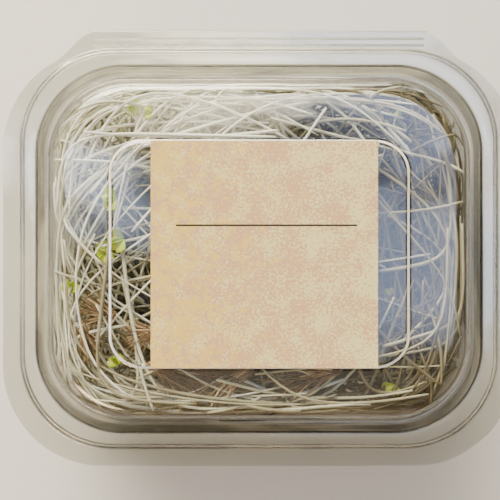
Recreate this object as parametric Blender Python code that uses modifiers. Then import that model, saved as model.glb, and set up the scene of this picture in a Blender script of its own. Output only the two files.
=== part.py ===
"""Clear hinged clamshell tray of cut broccoli microgreens, lid closed.

Metres, +Z up. The origin is on the table under the middle of the outline; the front is -Y and the
hinge is along the back, +Y. Run with: blender --background --python part.py
"""

import random
from math import cos, hypot, pi, radians, sin, sqrt, tau

import bmesh
import bpy
from mathutils import Matrix, Vector

MM = 0.001

# Outline of the moulding, seen from above
LENGTH = 149.0 * MM
DEPTH = 126.2 * MM
CORNER = 29.5 * MM
CORNER_SHRINK = 0.5  # how much a corner's radius falls for each millimetre further in
CORNER_STEPS = 8
HALF_X = LENGTH / 2
HALF_Y = DEPTH / 2

# Hinge flap: the middle of the back edge, where lid and tray are one folded sheet
FLAP_DEPTH = 5.0 * MM
FLAP_ROOT = 59.0 * MM
FLAP_TIP = 49.0 * MM
FOLD_GAP = 0.3 * MM

# Heights and the sheet
SHEET = 0.5 * MM
GAP = 0.3 * MM
RIM_Z = 38.0 * MM
RIDGE_RISE = 2.2 * MM
PLUG_DROP = 2.2 * MM
LID_RISE = 12.2 * MM
PLATEAU_RISE = 0.8 * MM
LID_LAYER = SHEET + GAP

# Tray section, each value an inset from the outline
RIDGE_FOOT = 5.6 * MM
RIDGE_OUT = 6.3 * MM
RIDGE_IN = 9.7 * MM
WALL_TOP = 10.6 * MM
WALL_TOP_DROP = 0.8 * MM
WALL_FOOT = 14.8 * MM
HEEL = (3.4 * MM, 15.0 * MM), (1.5 * MM, 15.8 * MM), (SHEET, 17.8 * MM)
PANEL_EDGE = 25.0 * MM
PANEL_SLOPE = 1.0 * MM
PANEL_RISE = 1.2 * MM

# Lid section, each value an inset from the outline
LID_RIDGE_FOOT = 5.0 * MM
LID_RIDGE_OUT = 5.7 * MM
LID_RIDGE_IN = 10.3 * MM
PLUG_OUT = 11.7 * MM
PLUG_IN = 13.3 * MM
DOME = 14.3 * MM
DOME_WALL_RISE = 6.5 * MM
SHOULDER_STEPS = 4
PLATEAU_HALF = 41.9 * MM, 31.9 * MM
PLATEAU_CORNER = 8.0 * MM
PLATEAU_SLOPE = 0.8 * MM
PLATEAU_Y = -1.5 * MM
SHOULDER = LID_RISE - DOME_WALL_RISE

# Paper label on the lid
LABEL_SIDE = 63.5 * MM
LABEL_THICKNESS = 0.2 * MM
LABEL_X = 1.4 * MM

# The greens: a low core, and the stems that stand out of it
STEMS = 130
LEAFY = 16
STEM_RADIUS = 0.55 * MM
STEM_STEPS = 6
STEM_LENGTH = 36.0 * MM, 62.0 * MM
STEM_SPACE = 1.3 * MM
STEM_BEND = 15  # spread of the stems' curvature, in radians a metre
EASING_PASSES = 2
EDGE_SHARE = 0.55  # of the stems, those that lie in the band along the walls
EDGE_REACH = 0.72, 0.86  # where those start, as shares of the core's half sizes
EDGE_TURN = 1.1, 0.5  # mean and spread of their first turn away from the middle, in radians
MIDDLE_REACH = 0.75
ROOT_RISE = -0.2, 0.45  # heights of the roots, as shares of the core's half height
RISE_SHARE = 0.6  # of a stem's length, the part in which it rises to its layer
TOP_LAYER = 17.0 * MM  # how far below the lid the upper stems may lie
TOP_CROWDING = 1.3
LOW_SHARE = 0.38  # of the stems, those that lie beside the core instead of above it
LOW_LAYER = 4.0 * MM, 33.0 * MM
CORE_HALF = Vector((51.0, 40.5, 14.5)) * MM
CORE_MID_Z = 16.8 * MM
CORE_SQUARENESS = 3.6
CORE_SEGMENTS = 24
CORE_RINGS = 12
CORE_FLAT = 0.93  # the underside is cut off flat at this share of the half height
CORE_LUMPS = 0.05, 0.04
LEAF_LENGTH = 6.0 * MM
LEAF_WIDTH = 8.0 * MM
LEAF_THICKNESS = 0.65 * MM
LEAF_POINTS = 10
LEAF_NOTCH = 0.3
LEAF_NOTCH_ANGLE = radians(40)
LEAF_FOLD = 0.35  # rise of the blade for its distance from the midrib
LEAF_OVERLAP = 1.0 * MM
LEAF_SPREAD = 0.5, 0.8  # turn of each leaf of a pair away from the stem's line, in radians
LEAF_TILT = -0.3, 0.4
LEAF_ROOM = 3.0 * MM
LEAF_HEADROOM = 6.0 * MM
SEED = 9

CLEAR_PLASTIC = (0.86, 0.90, 0.89, 1.0)
KRAFT = (0.66, 0.52, 0.38, 1.0)
STEM_CREAM = (0.74, 0.74, 0.60, 1.0)


def clear_scene():
    for obj in list(bpy.data.objects):
        bpy.data.objects.remove(obj, do_unlink=True)


def collection(name):
    found = bpy.data.collections.new(name)
    bpy.context.scene.collection.children.link(found)
    return found


def principled(name, colour, roughness, transmission=0.0):
    material = bpy.data.materials.new(name)
    material.use_nodes = True
    shader = material.node_tree.nodes["Principled BSDF"]
    shader.inputs["Base Color"].default_value = colour
    shader.inputs["Roughness"].default_value = roughness
    shader.inputs["Metallic"].default_value = 0.0
    shader.inputs["Transmission Weight"].default_value = transmission
    return material


def add_mesh(name, bm, target, material=None):
    mesh = bpy.data.meshes.new(name)
    bm.to_mesh(mesh)
    bm.free()
    obj = bpy.data.objects.new(name, mesh)
    target.objects.link(obj)
    if material:
        mesh.materials.append(material)
    return obj


def smooth_step(t):
    t = min(1.0, max(0.0, t))
    return t * t * (3 - 2 * t)


def rounded_rectangle(half_x, half_y, radius, z, middle_y=0.0):
    """Points of a rounded rectangle, anticlockwise from above, each corner an arc."""
    points = []
    for corner, (side_x, side_y) in enumerate(((1, 1), (-1, 1), (-1, -1), (1, -1))):
        centre_x = side_x * (half_x - radius)
        centre_y = side_y * (half_y - radius) + middle_y
        for step in range(CORNER_STEPS + 1):
            angle = (corner + step / CORNER_STEPS) * pi / 2
            points.append(Vector((centre_x + radius * cos(angle), centre_y + radius * sin(angle), z)))
    return points


def inset_ring(inset, z):
    """A section of the moulding at this distance in from its outline."""
    return rounded_rectangle(HALF_X - inset, HALF_Y - inset, CORNER - CORNER_SHRINK * inset, z)


def flange_ring(z):
    """The outer edge: the back is shorter, but for the hinge flap in its middle."""
    points = rounded_rectangle(HALF_X, HALF_Y - FLAP_DEPTH / 2, CORNER, z, -FLAP_DEPTH / 2)
    for point in points:
        if point.y > 0:
            point.y += FLAP_DEPTH * smooth_step((FLAP_ROOT - abs(point.x)) / (FLAP_ROOT - FLAP_TIP))
    return points


def formed_sheet(name, rings, target, material):
    """One thermoformed sheet: the rings from the outside in are its upper face."""
    bm = bmesh.new()
    rows = [[bm.verts.new(point) for point in ring] for ring in rings]
    for outer, inner in zip(rows, rows[1:]):
        for i in range(len(outer)):
            after = (i + 1) % len(outer)
            bm.faces.new((outer[i], outer[after], inner[after], inner[i]))
    bm.faces.new(rows[-1])
    obj = add_mesh(name, bm, target, material)
    obj.data.shade_smooth()
    obj.data.set_sharp_from_angle(angle=radians(35))
    solidify = obj.modifiers.new("Sheet thickness", "SOLIDIFY")
    solidify.thickness = SHEET
    solidify.offset = -1
    solidify.use_even_offset = True
    return obj


def make_tray(target):
    rings = [
        flange_ring(RIM_Z),
        inset_ring(RIDGE_FOOT, RIM_Z),
        inset_ring(RIDGE_OUT, RIM_Z + RIDGE_RISE),
        inset_ring(RIDGE_IN, RIM_Z + RIDGE_RISE),
        inset_ring(WALL_TOP, RIM_Z - WALL_TOP_DROP),
    ]
    rings += [inset_ring(inset, z) for z, inset in HEEL]
    rings += [
        inset_ring(PANEL_EDGE, SHEET),
        inset_ring(PANEL_EDGE + PANEL_SLOPE, SHEET + PANEL_RISE),
    ]
    return formed_sheet("tray", rings, target, principled("Clear tray plastic", CLEAR_PLASTIC, 0.06, 0.9))


def make_lid(target):
    base = RIM_Z + LID_LAYER
    rings = [
        flange_ring(base),
        inset_ring(LID_RIDGE_FOOT, base),
        inset_ring(LID_RIDGE_OUT, base + RIDGE_RISE),
        inset_ring(LID_RIDGE_IN, base + RIDGE_RISE),
        inset_ring(PLUG_OUT, RIM_Z - PLUG_DROP),
        inset_ring(PLUG_IN, RIM_Z - PLUG_DROP),
    ]
    for step in range(SHOULDER_STEPS + 1):
        angle = step / SHOULDER_STEPS * pi / 2
        inset = DOME + SHOULDER * (1 - cos(angle))
        rings.append(inset_ring(inset, RIM_Z + DOME_WALL_RISE + SHOULDER * sin(angle)))
    for slope, rise in ((PLATEAU_SLOPE, 0.0), (0.0, PLATEAU_RISE)):
        half_x, half_y = (half + slope for half in PLATEAU_HALF)
        corner = PLATEAU_CORNER + slope
        rings.append(rounded_rectangle(half_x, half_y, corner, RIM_Z + LID_RISE + rise, PLATEAU_Y))
    return formed_sheet("lid", rings, target, principled("Clear lid plastic", CLEAR_PLASTIC, 0.05, 0.9))


def make_label(target):
    bm = bmesh.new()
    bmesh.ops.create_cube(bm, size=1)
    bmesh.ops.scale(bm, verts=bm.verts, vec=(LABEL_SIDE, LABEL_SIDE, LABEL_THICKNESS))
    label = add_mesh("label", bm, target, principled("Kraft label paper", KRAFT, 0.85))
    plateau_z = RIM_Z + LID_RISE + PLATEAU_RISE
    label.location = (LABEL_X, PLATEAU_Y, plateau_z + GAP + LABEL_THICKNESS / 2)
    return label


def clear_inset(z):
    """How far in from the outline the inner wall of tray or lid is at height z."""
    if z < RIM_Z - PLUG_DROP - STEM_SPACE:
        return WALL_TOP + (WALL_FOOT - WALL_TOP) * (RIM_Z - z) / RIM_Z
    rise = min(1.0, max(0.0, (z - RIM_Z - DOME_WALL_RISE) / (SHOULDER - SHEET)))
    return DOME + SHEET + SHOULDER * (1 - sqrt(1 - rise * rise))


def confined(x, y, z, space):
    """The point moved sideways, if it has to be, to keep this space from the walls."""
    inset = clear_inset(z)
    radius = CORNER - CORNER_SHRINK * inset - space
    flat_x = HALF_X - inset - space - radius
    flat_y = HALF_Y - inset - space - radius
    over_x = max(0.0, abs(x) - flat_x)
    over_y = max(0.0, abs(y) - flat_y)
    over = hypot(over_x, over_y)
    if over > radius:
        x = (abs(x) - over_x * (1 - radius / over)) * (1 if x > 0 else -1)
        y = (abs(y) - over_y * (1 - radius / over)) * (1 if y > 0 else -1)
    return Vector((x, y, z))


def stem_route(rng):
    """A stem wanders level from its root in the core up to its own layer, and along any wall it meets."""
    around = rng.uniform(0, tau)
    along_edge = rng.random() < EDGE_SHARE
    reach = rng.uniform(*EDGE_REACH) if along_edge else MIDDLE_REACH * sqrt(rng.random())
    place = Vector((CORE_HALF.x * reach * cos(around), CORE_HALF.y * reach * sin(around), 0))
    root_z = CORE_MID_Z + CORE_HALF.z * rng.uniform(*ROOT_RISE)
    layer_z = RIM_Z + LID_RISE - SHEET - STEM_SPACE - TOP_LAYER * rng.random() ** TOP_CROWDING
    if rng.random() < LOW_SHARE:
        layer_z = rng.uniform(*LOW_LAYER)
    heading = around + rng.choice((-1, 1)) * rng.gauss(*EDGE_TURN) if along_edge else rng.uniform(0, tau)
    bend = rng.gauss(0, STEM_BEND)
    stride = rng.uniform(*STEM_LENGTH) / STEM_STEPS
    route = []
    for step in range(STEM_STEPS + 1):
        rise = smooth_step(step / STEM_STEPS / RISE_SHARE)
        point = confined(place.x, place.y, root_z + (layer_z - root_z) * rise, STEM_SPACE)
        if route:
            heading = (point - route[-1]).to_2d().angle_signed(Vector((1, 0)))
        route.append(point)
        heading += bend * stride
        place = point + stride * Vector((cos(heading), sin(heading), 0))
    return eased(route)


def eased(route):
    """The same route with its corners rounded off, still clear of the walls."""
    for _ in range(EASING_PASSES):
        middles = [(a + 2 * b + c) / 4 for a, b, c in zip(route, route[1:], route[2:])]
        route = [route[0], *(confined(*point, STEM_SPACE) for point in middles), route[-1]]
    return route


def stem_mesh(name, route, target):
    curve = bpy.data.curves.new(name, "CURVE")
    curve.dimensions = "3D"
    curve.bevel_depth = STEM_RADIUS
    curve.bevel_resolution = 0
    curve.use_fill_caps = True
    spline = curve.splines.new("POLY")
    spline.points.add(len(route) - 1)
    for spline_point, place in zip(spline.points, route):
        spline_point.co = (*place, 1)
    guide = bpy.data.objects.new(name, curve)
    target.objects.link(guide)
    graph = bpy.context.evaluated_depsgraph_get()
    bm = bmesh.new()
    bm.from_mesh(bpy.data.meshes.new_from_object(guide.evaluated_get(graph)))
    bmesh.ops.remove_doubles(bm, verts=bm.verts, dist=0.01 * MM)
    bmesh.ops.recalc_face_normals(bm, faces=bm.faces)
    bpy.data.objects.remove(guide, do_unlink=True)
    bpy.data.curves.remove(curve)
    return add_mesh(name, bm, target)


def leaf_mesh(name, base, direction, side, tilt, target):
    """One seed leaf: broad, notched at its tip, and folded a little along its midrib."""
    bm = bmesh.new()
    bmesh.ops.create_circle(bm, cap_ends=True, cap_tris=True, segments=LEAF_POINTS, radius=1)
    for vert in bm.verts:
        edge = vert.co.length
        angle = abs(vert.co.to_2d().angle(Vector((0, 1)), 0.0)) if edge > 0.5 else 0.0
        notch = LEAF_NOTCH * max(0.0, 1 - angle / LEAF_NOTCH_ANGLE) if edge > 0.5 else 0.0
        across = vert.co.x * LEAF_WIDTH / 2
        along = LEAF_LENGTH * (0.5 + vert.co.y / 2 * (1 - notch)) - LEAF_OVERLAP
        vert.co = Vector((across, along, LEAF_FOLD * abs(across)))
    bmesh.ops.solidify(bm, geom=list(bm.faces), thickness=LEAF_THICKNESS)
    bmesh.ops.recalc_face_normals(bm, faces=bm.faces)
    turn = Matrix.Rotation(side, 4, "Z") @ Matrix.Rotation(tilt, 4, "X")
    aim = Matrix.Rotation(-direction.angle_signed(Vector((0, 1))), 4, "Z")
    bmesh.ops.transform(bm, matrix=Matrix.Translation(base) @ aim @ turn, verts=bm.verts)
    return add_mesh(name, bm, target)


def core_mesh(target):
    """The packed middle of the heap, a flattened and squared ball with a lumpy skin."""
    bm = bmesh.new()
    bmesh.ops.create_uvsphere(bm, u_segments=CORE_SEGMENTS, v_segments=CORE_RINGS, radius=1)
    for vert in bm.verts:
        x, y, z = vert.co
        square = (abs(x) ** CORE_SQUARENESS + abs(y) ** CORE_SQUARENESS) ** (1 / CORE_SQUARENESS)
        spread = hypot(x, y) / square if square else 1.0
        lump = 1 + CORE_LUMPS[0] * sin(7 * x + 1) * cos(6 * y) + CORE_LUMPS[1] * sin(11 * y + 5 * z)
        flat = max(z, -CORE_FLAT)
        vert.co = Vector((x * spread * lump, y * spread * lump, flat * (lump if flat > 0 else 1)))
    bmesh.ops.scale(bm, verts=bm.verts, vec=CORE_HALF)
    bmesh.ops.translate(bm, verts=bm.verts, vec=(0, 0, CORE_MID_Z))
    return add_mesh("microgreens", bm, target, principled("Cream stems", STEM_CREAM, 0.45))


def room_for_leaves(point):
    space = LEAF_LENGTH + LEAF_ROOM
    inside = (confined(*point, space) - point).length < 0.1 * MM
    return inside and point.z < RIM_Z + LID_RISE - LEAF_HEADROOM


def make_microgreens(target, pieces):
    """Stems and seed leaves joined to the core, so that the whole heap is one body."""
    rng = random.Random(SEED)
    leafy = 0
    for number in range(STEMS):
        route = stem_route(rng)
        stem_mesh(f"stem_{number}", route, pieces)
        side, tilt = rng.uniform(*LEAF_SPREAD), rng.uniform(*LEAF_TILT)
        if leafy < LEAFY and room_for_leaves(route[-1]):
            leafy += 1
            direction = (route[-1] - route[-2]).to_2d()
            for sign in (-1, 1):
                leaf_mesh(f"leaf_{number}_{sign}", route[-1], direction, sign * side, tilt, pieces)
    greens = core_mesh(target)
    union = greens.modifiers.new("Join", "BOOLEAN")
    union.operation = "UNION"
    union.operand_type = "COLLECTION"
    union.collection = pieces
    union.solver = "MANIFOLD"
    with bpy.context.temp_override(object=greens, active_object=greens):
        bpy.ops.object.modifier_apply(modifier=union.name)
    for piece in list(pieces.objects):
        bpy.data.objects.remove(piece, do_unlink=True)
    bpy.data.collections.remove(pieces)
    return greens


def main():
    clear_scene()
    parts = collection("Microgreens tray")
    tray = make_tray(parts)
    greens = make_microgreens(parts, collection("Stems and leaves"))
    greens.parent = tray
    hinge = bpy.data.objects.new("lid_hinge_axis", None)
    parts.objects.link(hinge)
    hinge.location = (0, HALF_Y + FOLD_GAP, RIM_Z + GAP / 2)
    for moving in (make_lid(parts), make_label(parts)):
        moving.location -= hinge.location
        moving.parent = hinge


main()
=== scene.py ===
import random
from math import cos, hypot, pi, radians, sin, sqrt, tau

import bmesh
import bpy
from mathutils import Matrix, Vector, noise


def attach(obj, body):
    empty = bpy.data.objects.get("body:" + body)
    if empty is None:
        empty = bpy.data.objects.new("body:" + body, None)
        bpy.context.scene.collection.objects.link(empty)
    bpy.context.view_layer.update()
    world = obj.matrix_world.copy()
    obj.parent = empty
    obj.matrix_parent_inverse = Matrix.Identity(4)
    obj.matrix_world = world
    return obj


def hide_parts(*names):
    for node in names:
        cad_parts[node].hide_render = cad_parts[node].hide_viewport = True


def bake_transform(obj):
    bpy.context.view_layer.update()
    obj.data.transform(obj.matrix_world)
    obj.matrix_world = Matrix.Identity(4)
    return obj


# Clear hinged clamshell of cut broccoli sprouts, seen from straight above with its lid shut.
# Metres, +Z up, the hinge at the back, towards +Y. Sizes in the dictionaries are in millimetres,
# apart from the studio's and the lamps', which are in metres.

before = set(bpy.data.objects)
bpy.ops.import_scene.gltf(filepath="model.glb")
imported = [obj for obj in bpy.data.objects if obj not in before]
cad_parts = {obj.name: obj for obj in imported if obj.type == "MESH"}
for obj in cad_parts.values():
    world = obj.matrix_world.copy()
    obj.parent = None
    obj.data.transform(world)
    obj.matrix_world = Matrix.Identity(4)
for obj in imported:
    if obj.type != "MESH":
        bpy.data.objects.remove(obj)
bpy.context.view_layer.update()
mm = 0.001


# Small tools

def deselectAll():
    bpy.ops.object.select_all(action="DESELECT")


def makeActive(obj):
    deselectAll()
    obj.select_set(True)
    bpy.context.view_layer.objects.active = obj


def nameNew(name):
    obj = bpy.context.object
    obj.name = name
    obj.data.name = name
    return obj


def applyModifiers(obj):
    makeActive(obj)
    for modifier in list(obj.modifiers):
        bpy.ops.object.modifier_apply(modifier=modifier.name)


def applyPlace(obj):
    makeActive(obj)
    bpy.ops.object.transform_apply(location=True, rotation=True, scale=True)


def smoothStep(t):
    t = min(1.0, max(0.0, t))
    return t * t * (3 - 2 * t)


def toLinear(hexColour):
    # sRGB hex to the linear colour that the shaders use
    values = [int(hexColour[i:i + 2], 16) / 255 for i in (1, 3, 5)]
    return (*(v / 12.92 if v <= 0.04045 else ((v + 0.055) / 1.055) ** 2.4 for v in values), 1.0)


def addMaterial(name):
    material = bpy.data.materials.new(name)
    material.use_nodes = True
    material.node_tree.nodes.clear()
    return material


def addNode(material, kind, inputs=None, stops=None, **settings):
    # adds a node; an input given a socket is linked, one given a value is set
    node = material.node_tree.nodes.new(kind)
    for key, value in settings.items():
        setattr(node, key, value)
    for key, value in (inputs or {}).items():
        if isinstance(value, bpy.types.NodeSocket):
            material.node_tree.links.new(value, node.inputs[key])
        else:
            node.inputs[key].default_value = toLinear(value) if isinstance(value, str) else value
    if stops:
        while len(node.color_ramp.elements) < len(stops):
            node.color_ramp.elements.new(0.5)
        for element, (place, colour) in zip(node.color_ramp.elements, stops):
            element.position = place
            element.color = toLinear(colour)
    return node


# Camera: straight above the middle of the clamshell, a little left, so that the right rim is cut off

view = {"x": -2.6, "y": -0.3, "height": 350, "lens": 77, "sensor": 36}

bpy.ops.object.camera_add(location=(view["x"] * mm, view["y"] * mm, view["height"] * mm),
                          rotation=(0, 0, 0))
camera = nameNew("camera")
camera.data.lens = view["lens"]
camera.data.sensor_width = view["sensor"]
bpy.context.scene.camera = camera

# Studio: pale table and big soft lights. The blue ones overhead give the lid its sky veil, the cream
# ones its haze. Every lamp is a softbox with a blotchy cloth

studio = {"floorSize": 6.0, "floorColour": "#E6E3DC", "floorShade": "#E3E0D8", "floorMottle": 0.111,
          "roomStrength": 1.7, "windowWay": (-0.28, 0.88, 0.38), "cardScale": 2.6}
softbox = {"blotch": 3.0, "blotchDepth": 0.7, "bright": 0.5, "dark": 0.85, "glow": 2.0}
lamps = [
    {"name": "windowLamp", "place": (-0.3, 0.95, 0.75), "size": (1.1, 0.6),
     "watts": 50, "colour": "#FFF1DC"},
    {"name": "windowSill", "place": (-0.22, 1.05, 0.3), "size": (1.2, 0.35),
     "watts": 18, "colour": "#FFF4E0"},
    {"name": "frontLamp", "place": (-0.55, -0.8, 0.7), "size": (0.7, 0.3),
     "watts": 11, "colour": "#FFDDB2"},
    {"name": "skyLampRight", "place": (0.18, 0.0, 0.75), "size": (0.25, 0.62),
     "watts": 1.7, "colour": "#9DAAC9"},
    {"name": "skyLampBack", "place": (0.11, 0.19, 0.75), "size": (0.42, 0.22),
     "watts": 1.05, "colour": "#97A6CB"},
    {"name": "hazeLampBack", "place": (-0.03, 0.17, 0.75), "size": (0.2, 0.16),
     "watts": 0.38, "colour": "#FFF0D6"},
    {"name": "hazeLampFront", "place": (0.02, -0.14, 0.75), "size": (0.56, 0.13),
     "watts": 0.1, "colour": "#D9CDBA"},
    {"name": "skyLampLeft", "place": (-0.17, 0.07, 0.75), "size": (0.12, 0.24),
     "watts": 0.45, "colour": "#A4B0C8"},
]

bpy.ops.mesh.primitive_plane_add(size=studio["floorSize"], location=(0, 0, 0))
tableTop = nameNew("tableTop")

for lamp in lamps:
    place = Vector(lamp["place"])
    turn = (-place).to_track_quat("-Z", "Y").to_euler()
    bpy.ops.object.light_add(type="AREA", location=place, rotation=turn)
    light = nameNew(lamp["name"])
    light.data.shape = "RECTANGLE"
    light.data.size, light.data.size_y = lamp["size"]
    light.data.energy = lamp["watts"]
    light.data.color = toLinear(lamp["colour"])[:3]
    # the cloth of a softbox is brightest in its middle, so its reflection fades out at the edges
    light.data.use_nodes = True
    glow = light.data.node_tree.nodes["Emission"]
    cloth = addNode(light.data, "ShaderNodeNewGeometry")
    centred = addNode(light.data, "ShaderNodeVectorMath", {0: cloth.outputs["Parametric"],
                      1: (0.5, 0.5, 0)}, operation="SUBTRACT")
    fade = addNode(light.data, "ShaderNodeVectorMath", {0: centred.outputs["Vector"]}, operation="LENGTH")
    blotches = addNode(light.data, "ShaderNodeTexNoise", {"Vector": cloth.outputs["Parametric"],
                       "Scale": softbox["blotch"], "Detail": 3.0})
    rough = addNode(light.data, "ShaderNodeMath", {0: blotches.outputs["Fac"], 1: softbox["blotchDepth"],
                    2: fade.outputs["Value"]}, operation="MULTIPLY_ADD")
    strength = addNode(light.data, "ShaderNodeMapRange", {0: rough.outputs["Value"], 1: softbox["dark"],
                       2: softbox["bright"], 3: 0.0, 4: softbox["glow"]}, interpolation_type="SMOOTHSTEP")
    light.data.node_tree.links.new(strength.outputs["Result"], glow.inputs["Strength"])

# A light tent, bright low down and dim overhead, so that every bend of the plastic draws a line. Its
# window side, at the back left, is bright cream; the side towards the front right is a dim tan cloth.
# Grey cards hung about it break the lines up into lighter and darker stretches.
world = bpy.data.worlds.new("lightTent")
world.use_nodes = True
background = world.node_tree.nodes["Background"]
way = addNode(world, "ShaderNodeTexCoord")
height = addNode(world, "ShaderNodeSeparateXYZ", {"Vector": way.outputs["Generated"]})
tent = addNode(world, "ShaderNodeValToRGB", {"Fac": height.outputs["Z"]},
               stops=[(0.0, "#FFFDF6"), (0.35, "#E9EDF0"), (0.7, "#8F9AAA"), (0.93, "#4C4F55"),
                      (1.0, "#2E3032")])
towards = addNode(world, "ShaderNodeVectorMath", {0: way.outputs["Generated"], 1: studio["windowWay"]},
                  operation="DOT_PRODUCT")
raised = addNode(world, "ShaderNodeMath", {0: towards.outputs["Value"], 1: 0.5, 2: 0.5},
                 operation="MULTIPLY_ADD")
sides = addNode(world, "ShaderNodeValToRGB", {"Fac": raised.outputs["Value"]},
                stops=[(0.1, "#8A6A48"), (0.45, "#A99E8E"), (0.7, "#E6E6E4"), (0.95, "#FFFFFF")])
lit = addNode(world, "ShaderNodeMix", {0: 1.0, 6: tent.outputs["Color"], 7: sides.outputs["Color"]},
              data_type="RGBA", blend_type="MULTIPLY")
spots = addNode(world, "ShaderNodeTexNoise", {"Vector": way.outputs["Generated"],
                "Scale": studio["cardScale"], "Detail": 1.0})
cards = addNode(world, "ShaderNodeValToRGB", {"Fac": spots.outputs["Fac"]},
                stops=[(0.42, "#6E6C68"), (0.56, "#FFFFFF")])
carded = addNode(world, "ShaderNodeMix", {0: 1.0, 6: lit.outputs[2], 7: cards.outputs["Color"]},
                 data_type="RGBA", blend_type="MULTIPLY")
world.node_tree.links.new(carded.outputs[2], background.inputs["Color"])
background.inputs["Strength"].default_value = studio["roomStrength"]
bpy.context.scene.world = world
print("camera, table and lights are set")


# Materials

def makePet(name, pet, paintedHighlight=0.0):
    # Clear PET, thermoformed: clear face on, bends what lies behind its curves, draws bright and dark
    # streaks along every bend, and the forming left slight waves. Where the walls are seen edgewise they are
    # painted with dark olive grey lines broken into paler stretches: painted shade and painted reflection.
    # Lamps shine straight through, so the greens aren't in its shade.
    # Over the raised panel's sharp rib a flat white is mixed in: a painted highlight for the bright line
    # there.
    material = addMaterial(name)
    place = addNode(material, "ShaderNodeTexCoord")
    waves = addNode(material, "ShaderNodeTexNoise", {"Vector": place.outputs["Object"],
                    "Scale": 1000 / pet["waveLength"], "Detail": 1.0, "Roughness": 0.4})
    bump = addNode(material, "ShaderNodeBump", {"Height": waves.outputs["Fac"], "Strength": 1.0,
                   "Distance": pet["waveHeight"] * mm})
    facing = addNode(material, "ShaderNodeLayerWeight", {"Blend": pet["edgeBlend"]})
    level = addNode(material, "ShaderNodeMapping", {"Vector": place.outputs["Object"],
                    "Scale": [1000 / size for size in pet["shadeBandSize"]]})
    streaks = addNode(material, "ShaderNodeTexNoise", {"Vector": level.outputs["Vector"], "Scale": 1.0,
                      "Detail": 2.0})
    # dark olive and pale grey bands on the walls seen edgewise: painted shade and painted reflection of the
    # surroundings
    drawn = addNode(material, "ShaderNodeValToRGB", {"Fac": streaks.outputs["Fac"]},
                    stops=[(pet["shadeBandDark"], pet["bandShadeTint"]), (pet["shadeBandPale"], pet["bandPaleTint"])])
    tint = addNode(material, "ShaderNodeMix", {0: facing.outputs["Facing"], 6: pet["faceTint"],
                   7: drawn.outputs["Color"]}, data_type="RGBA")
    glass = addNode(material, "ShaderNodeBsdfPrincipled", {"Base Color": tint.outputs[2],
                    "Roughness": pet["roughness"], "IOR": pet["ior"], "Transmission Weight": 1.0,
                    "Normal": bump.outputs["Normal"]})
    clear = addNode(material, "ShaderNodeBsdfTransparent", {"Color": pet["lampTint"]})
    path = addNode(material, "ShaderNodeLightPath")
    lampLight = addNode(material, "ShaderNodeMath", {0: path.outputs["Is Shadow Ray"],
                        1: path.outputs["Is Diffuse Ray"]}, operation="MAXIMUM")
    sheet = addNode(material, "ShaderNodeMixShader", {0: lampLight.outputs["Value"],
                    1: glass.outputs["BSDF"], 2: clear.outputs["BSDF"]})
    # a flat white diffuse mixed in: a painted highlight
    if paintedHighlight:
        haze = addNode(material, "ShaderNodeBsdfDiffuse", {"Color": pet["paintedHighlightColour"]})
        sheet = addNode(material, "ShaderNodeMixShader", {0: paintedHighlight, 1: sheet.outputs["Shader"],
                        2: haze.outputs["BSDF"]})
    addNode(material, "ShaderNodeOutputMaterial", {"Surface": sheet.outputs["Shader"]})
    return material


# the band tints are painted shade and painted reflection on the walls seen edgewise
pet = {"ior": 1.57, "roughness": 0.04, "waveLength": 16, "waveHeight": 0.12, "edgeBlend": 0.5,
       "shadeBandSize": (35.7, 35.7, 8.7), "shadeBandDark": 0.46, "shadeBandPale": 0.56,
       "faceTint": "#F3F4EF", "bandPaleTint": "#C9C6B9", "bandShadeTint": "#1E1B14", "lampTint": "#F6F7F5",
       "paintedHighlightColour": "#F2F3EE", "ribHighlight": 0.93}
petSheet = makePet("thermoformedPet", pet)
# this version carries the painted highlight on the panel's rib
petRibHighlight = makePet("thermoformedPetPaintedHighlight", pet, pet["ribHighlight"])


def makeTable(name):
    # Matt painted board: a plain pale ground with the faintest unevenness
    material = addMaterial(name)
    place = addNode(material, "ShaderNodeTexCoord")
    mottle = addNode(material, "ShaderNodeTexNoise", {"Vector": place.outputs["Object"],
                     "Scale": 1 / studio["floorMottle"]})
    paint = addNode(material, "ShaderNodeValToRGB", {"Fac": mottle.outputs["Fac"]},
                    stops=[(0.35, studio["floorShade"]), (0.65, studio["floorColour"])])
    shader = addNode(material, "ShaderNodeBsdfPrincipled", {"Base Color": paint.outputs["Color"],
                     "Roughness": 0.85})
    addNode(material, "ShaderNodeOutputMaterial", {"Surface": shader.outputs["BSDF"]})
    return material


tableTop.data.materials.append(makeTable("mattBoard"))

# The moulding's outline, which both halves share

outline = {"halfX": 74.5, "halfY": 63.1, "corner": 29.5, "cornerShrink": 0.5, "cornerSteps": 20,
           "straight": 20, "sideCuts": 17, "flapDepth": 5.0, "flapRoot": 59.0, "flapTip": 49.0,
           "flapStart": 33.6, "sheet": 0.42, "rimZ": 38.0, "bend": 0.75, "bendSteps": 3, "bendAngle": 16,
           "smooth": 40}


def ringSize(inset):
    return (outline["halfX"] - inset) * mm, (outline["halfY"] - inset) * mm


def pickEdges(obj, test):
    # selects, in edit mode, the edges for which test is true
    bpy.ops.mesh.select_mode(type="EDGE")
    bpy.ops.mesh.select_all(action="DESELECT")
    edit = bmesh.from_edit_mesh(obj.data)
    for edge in edit.edges:
        if test(edge):
            edge.select_set(True)
    bmesh.update_edit_mesh(obj.data)


def pullRing(old, new):
    # extrudes the picked ring from one (inset, height) to the next
    bpy.ops.mesh.extrude_region_move(TRANSFORM_OT_translate={"value": (0, 0, (new[1] - old[1]) * mm)})
    (oldX, oldY), (newX, newY) = ringSize(old[0]), ringSize(new[0])
    bpy.ops.transform.resize(value=(newX / oldX, newY / oldY, 1), center_override=(0, 0, 0))


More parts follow.
